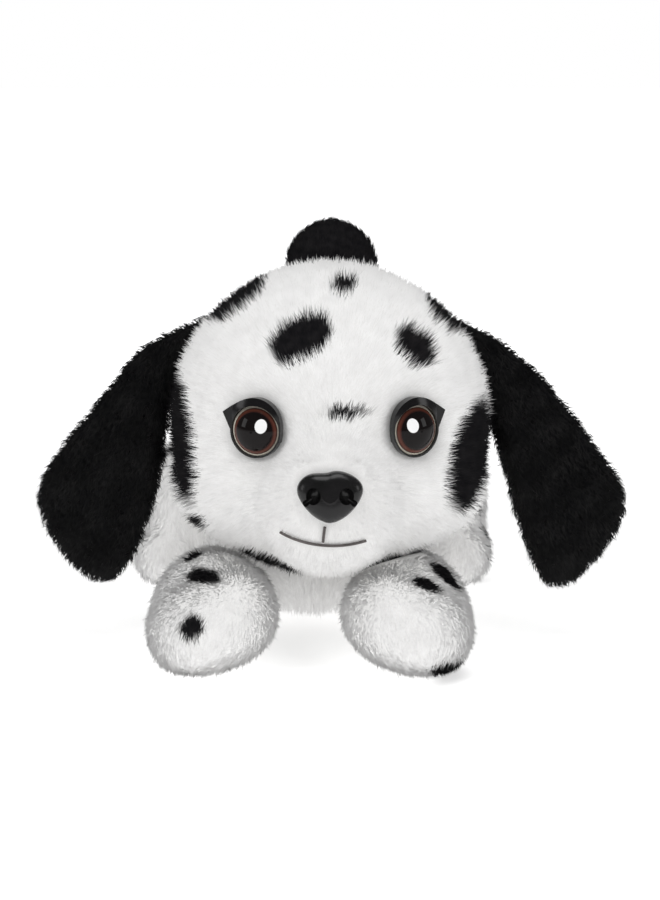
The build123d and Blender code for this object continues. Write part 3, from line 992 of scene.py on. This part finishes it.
def eye_print(side):
    """A clear dome over a print: black pupil, red-brown iris, cream rim, one white highlight."""
    lens, out = EYES[side]
    across = unit(np.cross([0, 0, 1], out))
    if across[0] * SIGN[side] < 0:
        across = -across
    up = unit(np.cross(across, out))
    up = up if up[2] > 0 else -up
    mat, nodes, links, bsdf = new_material(f"eye_print_{side}")
    u = offset_along(nodes, links, lens, across)
    v = offset_along(nodes, links, lens, up)
    share = calc(nodes, links, "DIVIDE", distance(nodes, links, u, v), PRINT_R)
    colour = ramp(nodes, links, share, PRINT_RINGS)
    streaks = noise(nodes, links, 1400, 2)
    colour = mix(nodes, links, calc(nodes, links, "MULTIPLY", streaks, 0.25), colour,
                 (0.02, 0.01, 0.01))
    colour = mix(nodes, links, highlight(nodes, links, u, v), colour, (0.95, 0.95, 0.95))
    links.new(colour, bsdf.inputs["Base Color"])
    bsdf.inputs["Roughness"].default_value = 0.5
    bsdf.inputs["Specular IOR Level"].default_value = 0.0
    bsdf.inputs["Coat Weight"].default_value = 1.0
    bsdf.inputs["Coat Roughness"].default_value = 0.01
    bsdf.inputs["Coat IOR"].default_value = 1.34
    return mat


BLACK_GLOSS = moulded("eye_black", (0.003, 0.003, 0.003), (0.007, 0.006, 0.007), 0.18, 500,
                      0.02)
NOSE_BLACK = moulded("nose_black", (0.005, 0.005, 0.005), (0.012, 0.011, 0.012), 0.24, 900, 0.12)
WHITE_PLASTIC = moulded("washer_white", (0.7, 0.7, 0.68), (0.82, 0.82, 0.8), 0.35, 400, 0.05)
THREAD = moulded("mouth_thread", (0.06, 0.053, 0.052), (0.15, 0.135, 0.13), 0.8, 2600, 0.5)
WHITE_THREAD = moulded("seam_thread", (0.7, 0.69, 0.67), (0.85, 0.84, 0.82), 0.8, 2600, 0.5)
for side in ("left", "right"):
    set_material(f"eye_{side}_lid", BLACK_GLOSS)
    set_material(f"eye_{side}_lens", eye_print(side))
    set_material(f"eye_{side}_disc", BLACK_GLOSS)
    set_material(f"eye_{side}_washer", WHITE_PLASTIC)
set_material("nose", NOSE_BLACK)
set_material("nose_washer", WHITE_PLASTIC)
set_material("mouth_stitch", THREAD)
set_material("philtrum_stitch", THREAD)
set_material("neck_seam", WHITE_THREAD)


# ------------------------------------------------------------------ studio
SOFT_LIGHT = 0.35    # the white surroundings as the cloth sees them
FLOOR_BOUNCE = 0.40  # light the white sweep sends up under the chin and chest


def by_ray(nodes, links, plain, camera, glossy):
    """One strength for lighting, others for what the camera and the reflections see."""
    path = nodes.new("ShaderNodeLightPath")
    strength = plain
    for kind, level in (("Is Camera Ray", camera), ("Is Glossy Ray", glossy)):
        part = nodes.new("ShaderNodeMix")
        part.data_type = "FLOAT"
        links.new(path.outputs[kind], part.inputs["Factor"])
        plug(links, strength, part.inputs[2])
        plug(links, level, part.inputs[3])
        strength = part.outputs[0]
    return strength


FADE = {"From Min": 0.22, "From Max": 0.9, "To Min": 0.47, "To Max": 1.2}
# place, width and height, power, whether it is seen in reflections
SOFTBOXES = {"key": ((-0.75, -1.0, 0.95), (0.55, 0.75), 5, False),
             "fill": ((0.85, -0.95, 0.65), (0.5, 0.7), 3.2, False),
             "top": ((0.05, -0.15, 1.4), (1.0, 0.8), 5, True),
             "window_left": ((-1.05, -0.28, 0.42), (0.34, 0.46), 0.7, True),
             "window_right": ((1.1, -0.28, 0.42), (0.34, 0.46), 0.7, True)}


def pale_floor():
    """The sweep, with a soft shadow under the puppy, fading to plain white away from it."""
    mat, nodes, links, bsdf = new_material("pale_floor")
    links.new(ramp(nodes, links, noise(nodes, links, 3), [(0.3, (0.90, 0.90, 0.90)),
                                                          (0.7, (0.92, 0.92, 0.92))]),
              bsdf.inputs["Base Color"])
    bsdf.inputs["Roughness"].default_value = 0.9
    bsdf.inputs["Emission Color"].default_value = (1, 1, 1, 1)
    coords = nodes.new("ShaderNodeTexCoord")
    away = nodes.new("ShaderNodeVectorMath")
    away.operation = "LENGTH"
    links.new(coords.outputs["Object"], away.inputs[0])
    fade = nodes.new("ShaderNodeMapRange")
    for name, value in FADE.items():
        fade.inputs[name].default_value = value
    links.new(away.outputs["Value"], fade.inputs["Value"])
    links.new(by_ray(nodes, links, FLOOR_BOUNCE, fade.outputs["Result"], glossy=0.0),
              bsdf.inputs["Emission Strength"])
    floor = mesh_from("floor", np.array([(-6000, -3000, 0), (6000, -3000, 0), (6000, 9000, 0),
                                         (-6000, 9000, 0)]), [(0, 1, 2, 3)])
    floor.data.materials.append(mat)


def white_world():
    world = bpy.data.worlds.new("studio")
    world.use_nodes = True
    nodes, links = world.node_tree.nodes, world.node_tree.links
    sky = nodes["Background"]
    sky.inputs["Color"].default_value = (1, 1, 1, 1)
    links.new(by_ray(nodes, links, SOFT_LIGHT, camera=1.0, glossy=0.12), sky.inputs["Strength"])
    bpy.context.scene.world = world


def softboxes():
    aim = Vector(HEAD * MM)
    for name, (place, (wide, tall), power, mirrored) in SOFTBOXES.items():
        lamp = bpy.data.lights.new(name, "AREA")
        lamp.shape, lamp.size, lamp.size_y, lamp.energy = "RECTANGLE", wide, tall, power
        obj = bpy.data.objects.new(name, lamp)
        obj.location = place
        obj.visible_glossy = mirrored
        obj.rotation_euler = (aim - Vector(place)).to_track_quat("-Z", "Y").to_euler()
        bpy.context.collection.objects.link(obj)


AIM_BELOW_HEAD = 13.3
CAMERA_TILT = radians(10)


def camera():
    """Straight ahead of the puppy, 10 degrees above it, at one metre."""
    aim = Vector((HEAD + np.array([0, 0, -AIM_BELOW_HEAD])) * MM)
    data = bpy.data.cameras.new("camera")
    data.lens, data.sensor_width = 96, 36
    obj = bpy.data.objects.new("camera", data)
    obj.location = aim + Vector((0, -cos(CAMERA_TILT), sin(CAMERA_TILT)))
    obj.rotation_euler = (pi / 2 - CAMERA_TILT, 0, 0)
    bpy.context.collection.objects.link(obj)
    bpy.context.scene.camera = obj


pale_floor()
white_world()
softboxes()
bpy.context.scene.view_settings.view_transform = "Standard"
camera()
